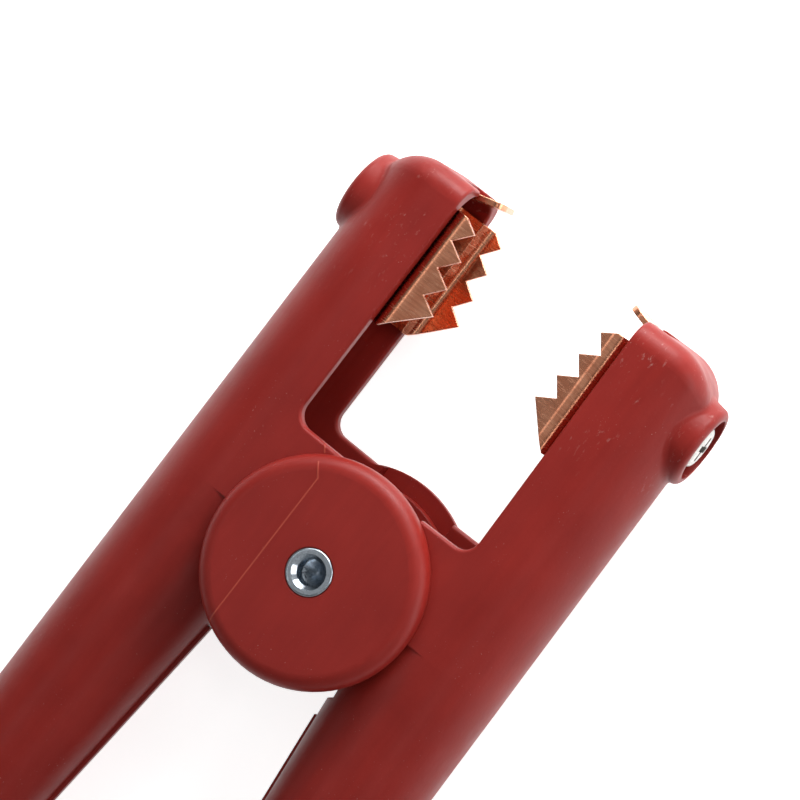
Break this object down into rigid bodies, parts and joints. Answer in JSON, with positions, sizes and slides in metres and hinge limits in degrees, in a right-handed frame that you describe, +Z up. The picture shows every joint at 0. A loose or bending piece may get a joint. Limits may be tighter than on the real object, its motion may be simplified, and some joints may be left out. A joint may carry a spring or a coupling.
{
  "type": "crocodile clip",
  "caption": "Large insulated crocodile clip for battery and test leads: moulded spring handles, toothed copper jaws with a tip tongue, screw terminals reached through a boss near each tip",
  "frame": {"origin": "centre of the hinge on the lower face of the clip, where it rests on its side", "axes": "+X from the hinge to the jaw tips, +Y to the outer arm, +Z up along the hinge axis"},
  "size_m": [0.1563, 0.0748, 0.0338],
  "materials": {
    "red_plastic": "satin moulded red plastic",
    "copper_sheet": "brushed copper sheet",
    "nickel_steel": "nickel plated",
    "rivet_steel": "zinc plated",
    "spring_steel": "drawn wire"
  },
  "bodies": {
    "outer_arm": {"outer_arm_shell": "red_plastic", "outer_jaw": "copper_sheet", "outer_terminal_screw": "nickel_steel", "outer_screw_washer": "nickel_steel", "outer_terminal_nut": "nickel_steel", "hinge_rivet": "rivet_steel", "torsion_spring": "spring_steel"},
    "inner_arm": {"inner_arm_shell": "red_plastic", "inner_jaw": "copper_sheet", "inner_terminal_screw": "nickel_steel", "inner_screw_washer": "nickel_steel", "inner_terminal_nut": "nickel_steel"}
  },
  "joints": [
    {"name": "jaw_hinge", "type": "hinge", "parent": "outer_arm", "child": "inner_arm", "pos_m": [0, 0, 0.0168], "axis": [0, 0, 1], "range_deg": [-23.2, 22.9], "stiffness_Nm_per_rad": 0.3, "springref_deg": 51.57, "deforming": ["torsion_spring"]}
  ]
}
